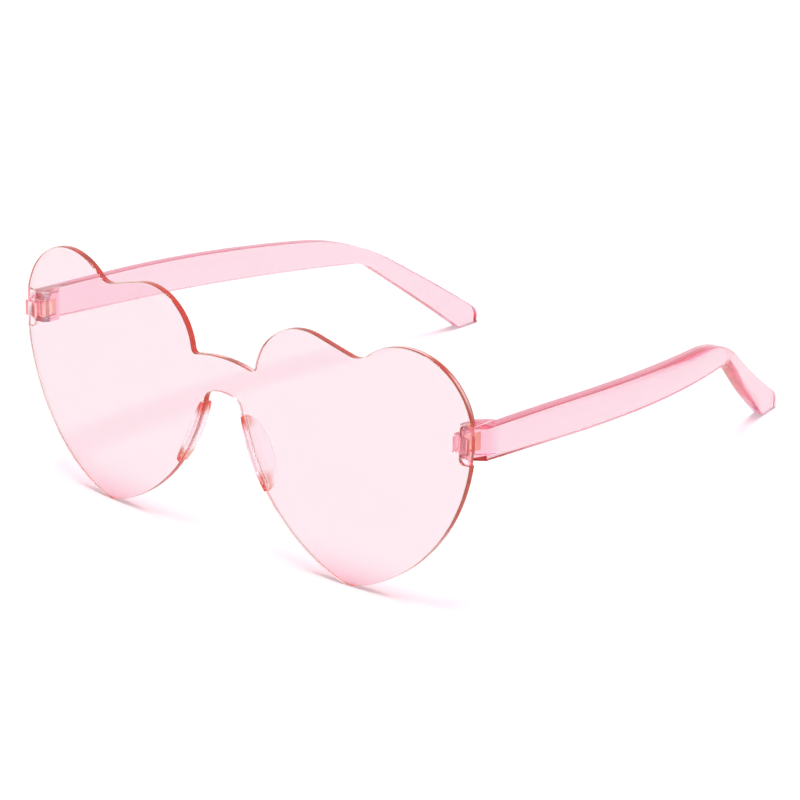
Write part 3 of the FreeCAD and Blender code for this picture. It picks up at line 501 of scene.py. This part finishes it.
def inward(points):
    """Unit step into the lens at each point of a clockwise outline, longer at corners."""
    steps = []
    for before, point, after in zip(points[-1:] + points, points, points[1:] + points[:1]):
        first, second = (point - before).normalized(), (after - point).normalized()
        normals = Vector((first.y, -first.x)), Vector((second.y, -second.x))
        steps.append((normals[0] + normals[1]) / (1 + normals[0].dot(normals[1])))
    return steps


def surface_points(ring, step):
    """Points of a square grid that lie inside a ring and not too near it."""
    tree = KDTree(len(ring))
    for index, point in enumerate(ring):
        tree.insert(point.to_3d(), index)
    tree.balance()
    found = []
    columns = math.ceil(max(point.x for point in ring) / step)
    rows = math.ceil(max(point.y for point in ring) / step)
    for column in range(-columns, columns + 1):
        x = column * step
        crossings = sorted(
            a.y + (b.y - a.y) * (x - a.x) / (b.x - a.x)
            for a, b in zip(ring, ring[1:] + ring[:1]) if (a.x <= x) != (b.x <= x)
        )
        for row in range(rows + 1):
            y = row * step
            inside = sum(crossing < y for crossing in crossings) % 2 == 1
            if inside and tree.find((x, y, 0))[2] > 0.6 * step:
                found.append(Vector((x, y)))
    return found


def shield_mesh(shield):
    """Curved shield with a rounded rim, filled in front and behind."""
    half = half_outline(shield)
    outline = half + [Vector((-point.x, point.y)) for point in reversed(half[1:-1])]
    steps = inward(outline)
    count = len(outline)
    rounding = [k * math.pi / 10 for k in range(6)]
    profile = [(1 - math.sin(a), 1 - math.cos(a), False) for a in rounding]
    profile += [(1 - math.cos(a), 1 - math.sin(a), True) for a in rounding]
    place = worn_to_row()

    def spot(point, behind, depth):
        radius = shield.curve - shield.thickness if behind else shield.curve
        y = shield.curve - math.sqrt(radius**2 - point.x**2)
        return place @ Vector((point.x, y - depth if behind else y + depth, point.y))

    verts = []
    for inset, depth, behind in profile:
        for point, step in zip(outline, steps):
            verts.append(spot(point + step * inset * shield.edge_round, behind, depth * shield.edge_round))
    rings = len(profile)
    faces = []
    for ring in range(rings - 1):
        for k in range(count):
            after = (k + 1) % count
            faces.append((ring * count + k, ring * count + after, (ring + 1) * count + after,
                          (ring + 1) * count + k))
    ring = [point + step * shield.edge_round for point, step in zip(outline, steps)]
    inside = surface_points(ring, shield.grid)
    loop = [(k, (k + 1) % count) for k in range(count)]
    filled = delaunay_2d_cdt(ring + inside, loop, [], 1, 1e-7)
    flat, triangles, sources = filled[0], filled[2], filled[3]
    if len(flat) != count + len(inside):
        raise RuntimeError("the outline of the shield crosses itself")
    own = [source[0] for source in sources]
    for behind, rim in ((False, 0), (True, (rings - 1) * count)):
        start = len(verts) - count
        verts += [spot(point, behind, 0.0) for point in inside]
        for triangle in triangles:
            corners = [own[k] + rim if own[k] < count else own[k] + start for k in triangle]
            faces.append(corners if behind else corners[::-1])
    mesh = bpy.data.meshes.new("lens")
    mesh.from_pydata(verts, [], faces)
    shape = bmesh.new()
    shape.from_mesh(mesh)
    bmesh.ops.recalc_face_normals(shape, faces=shape.faces)
    for face in shape.faces:
        face.smooth = True
    for edge in shape.edges:
        first, second = (vert.index // count for vert in edge.verts)
        edge.smooth = not (first == second and first in (0, rings - 1))
        if len(edge.link_faces) == 2 and edge.calc_face_angle() > math.radians(35):
            edge.smooth = False
    shape.to_mesh(mesh)
    shape.free()
    # The rim faces carry the painted light and shade of the rim colour.
    mark_faces(mesh, lambda face: len(face.vertices) == 4)
    across = mesh.attributes.new("across", "FLOAT", "POINT")
    reach = [depth * shield.edge_round / shield.thickness for _, depth, _ in profile]
    shares = [1 - deep if behind else deep for deep, (_, _, behind) in zip(reach, profile)]
    spread = [value for value in shares for _ in outline]
    across.data.foreach_set("value", spread + [0.0] * (len(verts) - len(spread)))
    return mesh


class SUNGLASSES_OT_lens(bpy.types.Operator):
    """Make the curved double heart shield with a polished rim"""

    bl_idname = "sunglasses.lens"
    bl_label = "Lens"

    def execute(self, context):
        look = settings()
        clear = look.plastic
        plastic = clear_plastic("pink_lens", clear.lens_tint, clear.lens_density, 0.02, clear.rim_light_and_shade,
                                clear.rim_glow, rim_reflection=clear.rim_reflection)
        add_piece("lens", shield_mesh(look.shield), "front", "lens_shield", plastic)
        return {"FINISHED"}


def in_slot(face):
    """True on the back and the floor of the hinge slot of a temple."""
    across, along, _ = hinge_joint("left")["pos_m"]
    behind, outside = face.center.y - along, abs(face.center.x) - across
    is_back = face.normal.y < -0.9 and 0 < behind < SLOT_REACH
    is_floor = abs(face.normal.x) > 0.9 and abs(behind) < SLOT_HALF and SLOT_INNER < outside < SLOT_OUTER
    return is_back or is_floor


class SUNGLASSES_OT_temples(bpy.types.Operator):
    """Make the two bowed temples with softened edges"""

    bl_idname = "sunglasses.temples"
    bl_label = "Temples"

    def execute(self, context):
        look = settings().plastic
        plastic = clear_plastic("pink_temple", look.temple_tint, look.temple_density, 0.03, look.top_shade,
                                look.slot_glow, "slot")
        for side in SIDES:
            node = f"temple_{side}"
            mesh = rounded_copy(node, look.round)
            # Painted shade on the top faces of the temples.
            mark_faces(mesh, lambda face: face.normal.z > 0.6)
            mark_faces(mesh, in_slot, "slot")
            add_piece(f"arm_{side}", mesh, node, node, plastic)
        return {"FINISHED"}


def softened(corners, radius, steps=3):
    """Closed outline with each corner replaced by a short curve."""
    points = []
    for before, corner, after in zip(corners[-1:] + corners, corners, corners[1:] + corners[:1]):
        ends = []
        for other in (before, after):
            side = other - corner
            ends.append(corner + side.normalized() * min(radius, 0.45 * side.length))
        for k in range(steps + 1):
            t = k / steps
            points.append(ends[0].lerp(corner, t).lerp(corner.lerp(ends[1], t), t))
    return points


def pad_section(shield, pads, radius, fullness):
    """Cross section of a nose pad, as distance from the centre of the nasal edge and depth."""
    seat = radius - shield.pad_recess + shield.seat_gap
    grip = seat - (pads.width - shield.pad_recess) * fullness
    stout = pads.end_share + (1 - pads.end_share) * fullness
    front = -pads.lip * stout
    back = shield.thickness + pads.room
    wall = back + pads.wall * stout
    edge = wall + pads.reach * fullness
    leaf = radius - pads.flare * fullness
    corners = [
        (radius, front), (grip, front), (grip, -shield.seat_gap), (seat, -shield.seat_gap), (seat, back),
        (grip, back), (grip, wall), (leaf - pads.feather, edge), (leaf, edge), (radius, wall),
    ]
    return softened([Vector(corner) for corner in corners], pads.round)


def pad_fullness(u):
    """Share of its full section that a pad has at u, which runs from -1 at its top to 1 at its bottom."""
    return max(0.02, 1 - u * u) ** 0.6


def pad_warmth(pads, u):
    """Share of the painted end light and shade at u, which reaches further up from the bottom of a pad."""
    start = pads.warm_top if u < 0 else pads.warm_bottom
    return min(1.0, max(0.0, (abs(u) - start) * pads.warm_rise))


def pad_mesh(shield, pads, side):
    """Almond shaped pad swept along the nasal edge, thick at the grip and feathered behind."""
    centre, radius, upper, lower = nasal_edge(shield)
    place = worn_to_row()
    mirror = 1 if side == "left" else -1
    verts, warm, count = [], [], 0
    for station in range(pads.stations + 1):
        u = 2 * station / pads.stations - 1
        ray = polar((upper + lower) / 2 + (lower - upper) / 2 * u)
        section = pad_section(shield, pads, radius, pad_fullness(u))
        count = len(section)
        for distance, depth in section:
            point = centre + ray * distance
            verts.append(place @ Vector((mirror * point.x, depth, point.y)))
            # The ends of the grip carry painted light and shade.
            on_grip = depth < shield.thickness or distance > radius - 2 * pads.round
            warm.append(pad_warmth(pads, u) if on_grip else 0.0)
    faces = [list(range(count)), list(range(len(verts) - count, len(verts)))]
    for station in range(pads.stations):
        for k in range(count):
            after = (k + 1) % count
            start = station * count
            faces.append((start + k, start + after, start + count + after, start + count + k))
    mesh = bpy.data.meshes.new(f"pad_{side}")
    mesh.from_pydata(verts, [], faces)
    shape = bmesh.new()
    shape.from_mesh(mesh)
    bmesh.ops.recalc_face_normals(shape, faces=shape.faces)
    shape.to_mesh(mesh)
    shape.free()
    mesh.shade_smooth()
    mesh.set_sharp_from_angle(angle=math.radians(50))
    rim = mesh.attributes.new("rim", "FLOAT", "POINT")
    rim.data.foreach_set("value", warm)
    return mesh


class SUNGLASSES_OT_nose_pads(bpy.types.Operator):
    """Make the two nose pads that grip the nasal edges"""

    bl_idname = "sunglasses.nose_pads"
    bl_label = "Nose pads"

    def execute(self, context):
        look = settings()
        clear = look.plastic
        plastic = clear_plastic("pink_pad", clear.lens_tint, clear.pad_density, 0.03, clear.end_light_and_shade)
        for side in SIDES:
            mesh = pad_mesh(look.shield, look.pads, side)
            add_piece(f"pad_{side}", mesh, "front", f"nose_pad_{side}", plastic)
        return {"FINISHED"}


class SUNGLASSES_OT_endpieces(bpy.types.Operator):
    """Make the two endpieces clipped into the lens"""

    bl_idname = "sunglasses.endpieces"
    bl_label = "Endpieces"

    def execute(self, context):
        look = settings().plastic
        plastic = clear_plastic("pink_clip", look.temple_tint, look.clip_density, 0.03, look.clip_side_light)
        for side in SIDES:
            mesh = rounded_copy(f"endpiece_{side}", look.round / 2, 2)
            # Painted light on the outer and inner faces of the endpiece.
            mark_faces(mesh, lambda face: abs(face.normal.x) > 0.6)
            add_piece(f"clip_{side}", mesh, "front", f"endpiece_{side}", plastic)
        return {"FINISHED"}


def thread_group():
    """Node group that runs a round ridge along a helix."""
    group = bpy.data.node_groups.new("ScrewThread", "GeometryNodeTree")
    group.interface.new_socket("Geometry", in_out="OUTPUT", socket_type="NodeSocketGeometry")
    for name in ("Radius", "Pitch", "Run", "Ridge"):
        group.interface.new_socket(name, in_out="INPUT", socket_type="NodeSocketFloat")
    group.interface.new_socket("Material", in_out="INPUT", socket_type="NodeSocketMaterial")
    add, link = group.nodes.new, group.links.new
    inputs, outputs = add("NodeGroupInput").outputs, add("NodeGroupOutput").inputs
    turns = add("ShaderNodeMath")
    turns.operation = "DIVIDE"
    link(inputs["Run"], turns.inputs[0])
    link(inputs["Pitch"], turns.inputs[1])
    helix = add("GeometryNodeCurveSpiral")
    helix.inputs["Resolution"].default_value = 24
    link(turns.outputs[0], helix.inputs["Rotations"])
    link(inputs["Radius"], helix.inputs["Start Radius"])
    link(inputs["Radius"], helix.inputs["End Radius"])
    link(inputs["Run"], helix.inputs["Height"])
    section = add("GeometryNodeCurvePrimitiveCircle")
    section.inputs["Resolution"].default_value = 8
    link(inputs["Ridge"], section.inputs["Radius"])
    tube = add("GeometryNodeCurveToMesh")
    tube.inputs["Fill Caps"].default_value = True
    link(helix.outputs["Curve"], tube.inputs["Curve"])
    link(section.outputs["Curve"], tube.inputs["Profile Curve"])
    real = add("GeometryNodeRealizeInstances")
    link(tube.outputs["Mesh"], real.inputs["Geometry"])
    painted = add("GeometryNodeSetMaterial")
    link(real.outputs["Geometry"], painted.inputs["Geometry"])
    link(inputs["Material"], painted.inputs["Material"])
    link(painted.outputs["Geometry"], outputs["Geometry"])
    return group


def thread_mesh(group, screw, material):
    """Thread of a screw along Z."""
    holder = bpy.data.objects.new("thread_rough", bpy.data.meshes.new("thread_rough"))
    bpy.context.scene.collection.objects.link(holder)
    modifier = holder.modifiers.new("Thread", "NODES")
    modifier.node_group = group
    values = {"Radius": screw.radius, "Pitch": screw.pitch, "Run": screw.run, "Ridge": screw.ridge,
              "Material": material}
    for item in group.interface.items_tree:
        if item.in_out == "INPUT":
            modifier[item.identifier] = values[item.name]
    mesh = bpy.data.meshes.new_from_object(holder.evaluated_get(bpy.context.evaluated_depsgraph_get()))
    bpy.data.objects.remove(holder)
    return mesh


class SUNGLASSES_OT_screws(bpy.types.Operator):
    """Make the two slotted steel hinge screws with their threads"""

    bl_idname = "sunglasses.screws"
    bl_label = "Hinge screws"

    def execute(self, context):
        screw = settings().screw
        steel = turned_steel("hinge_steel", screw.steel)
        group = thread_group()
        for side in SIDES:
            node = f"hinge_screw_{side}"
            joint = hinge_joint(side)
            axis = Vector((0, abs(joint["axis"][1]), abs(joint["axis"][2])))
            thread = thread_mesh(group, screw, steel)
            turn = axis.to_track_quat("Z", "Y").to_matrix().to_4x4()
            foot = Vector(joint["pos_m"]) - axis * screw.start
            thread.transform(Matrix.Translation(foot) @ turn)
            shape = bmesh.new()
            shape.from_mesh(rounded_copy(node, screw.round, 2))
            shape.from_mesh(thread)
            mesh = bpy.data.meshes.new(node)
            shape.to_mesh(mesh)
            shape.free()
            add_piece(f"screw_{side}", mesh, f"temple_{side}", node, steel)
        return {"FINISHED"}


def seen_rays(plan):
    """1 for rays that show a surface to the camera, straight, mirrored or through plastic."""
    path = plan.node("ShaderNodeLightPath")
    names = ("Is Camera Ray", "Is Glossy Ray", "Is Transmission Ray")
    camera, glossy, through = (Wire(plan, path.outputs[name]) for name in names)
    return camera.larger(glossy).larger(through)


class SUNGLASSES_OT_stage(bpy.types.Operator):
    """Set the pale floor, the soft studio light and the camera"""

    bl_idname = "sunglasses.stage"
    bl_label = "Stage"

    def execute(self, context):
        stage = settings().stage
        scene = context.scene
        scene.view_settings.view_transform = "Standard"
        self.make_floor(scene, stage)
        self.make_sky(scene, stage)
        lamp = bpy.data.lights.new("overhead", "SUN")
        lamp.energy = stage.key
        lamp.angle = stage.key_angle
        hung = bpy.data.objects.new("overhead", lamp)
        scene.collection.objects.link(hung)
        self.make_camera(scene)
        bounces = settings().plastic.bounces
        scene.cycles.max_bounces = bounces
        scene.cycles.glossy_bounces = bounces
        scene.cycles.transmission_bounces = bounces
        scene.cycles.transparent_max_bounces = bounces
        return {"FINISHED"}

    def make_floor(self, scene, stage):
        half = stage.floor / 2
        mesh = bpy.data.meshes.new("floor")
        mesh.from_pydata([(-half, -half, 0), (half, -half, 0), (half, half, 0), (-half, half, 0)], [],
                         [(0, 1, 2, 3)])
        floor = bpy.data.objects.new("floor", mesh)
        scene.collection.objects.link(floor)
        material = bpy.data.materials.new("pale_floor")
        mesh.materials.append(material)
        plan = Plan(material)
        place = plan.add("ShaderNodeTexCoord", output="Object")
        grain = plan.add("ShaderNodeTexNoise", inputs={"Vector": place, "Scale": 40.0})
        paint = plan.blend(grain, (0.9, 0.9, 0.9, 1.0), (0.92, 0.92, 0.92, 1.0))
        matte = plan.add("ShaderNodeBsdfDiffuse", inputs={"Color": paint})
        path = plan.node("ShaderNodeLightPath")
        glow = plan.add("ShaderNodeEmission",
                        inputs={"Strength": Wire(plan, path.outputs["Is Camera Ray"]) * stage.glow})
        shown = plan.add("ShaderNodeAddShader", inputs={0: matte, 1: glow})
        plan.node("ShaderNodeOutputMaterial", inputs={"Surface": shown})

    def make_sky(self, scene, stage):
        world = bpy.data.worlds.new("studio")
        scene.world = world
        plan = Plan(world)
        strength = seen_rays(plan) * (1.0 - stage.sky) + stage.sky
        light = plan.add("ShaderNodeBackground", inputs={"Color": (1.0, 1.0, 1.0, 1.0), "Strength": strength})
        plan.node("ShaderNodeOutputWorld", inputs={"Surface": light})

    def make_camera(self, scene):
        """Camera at the photograph's place, by its right and up directions."""
        right = Vector((0.751145, 0.659984, -0.014264))
        up = Vector((-0.234767, 0.287265, 0.928635))
        turn = Matrix((right, up, right.cross(up))).transposed().to_4x4()
        lens = bpy.data.cameras.new("camera")
        lens.lens = 136.17
        lens.sensor_width = 36.0
        lens.clip_end = 50.0
        camera = bpy.data.objects.new("camera", lens)
        camera.matrix_world = Matrix.Translation((0.468028, -0.539187, 0.297624)) @ turn
        scene.collection.objects.link(camera)
        scene.camera = camera


OPERATORS = (
    SUNGLASSES_OT_lens, SUNGLASSES_OT_temples, SUNGLASSES_OT_nose_pads, SUNGLASSES_OT_endpieces,
    SUNGLASSES_OT_screws, SUNGLASSES_OT_stage,
)


class SUNGLASSES_PT_panel(bpy.types.Panel):
    """Pieces of the sunglasses"""

    bl_idname = "SUNGLASSES_PT_panel"
    bl_label = "Heart Sunglasses"
    bl_space_type = "VIEW_3D"
    bl_region_type = "UI"
    bl_category = "Sunglasses"

    def draw(self, context):
        for operator in OPERATORS:
            self.layout.operator(operator.bl_idname)


CLASSES = (
    SunglassesShield, SunglassesPads, SunglassesPlastic, SunglassesScrew, SunglassesStage, SunglassesSettings,
    *OPERATORS, SUNGLASSES_PT_panel,
)


def register():
    for kind in CLASSES:
        bpy.utils.register_class(kind)
    bpy.types.Scene.sunglasses = bpy.props.PointerProperty(type=SunglassesSettings)


def unregister():
    del bpy.types.Scene.sunglasses
    for kind in reversed(CLASSES):
        bpy.utils.unregister_class(kind)


def main():
    register()
    bpy.ops.sunglasses.lens()
    bpy.ops.sunglasses.temples()
    bpy.ops.sunglasses.nose_pads()
    bpy.ops.sunglasses.endpieces()
    bpy.ops.sunglasses.screws()
    bpy.ops.sunglasses.stage()


if __name__ == "__main__":
    main()
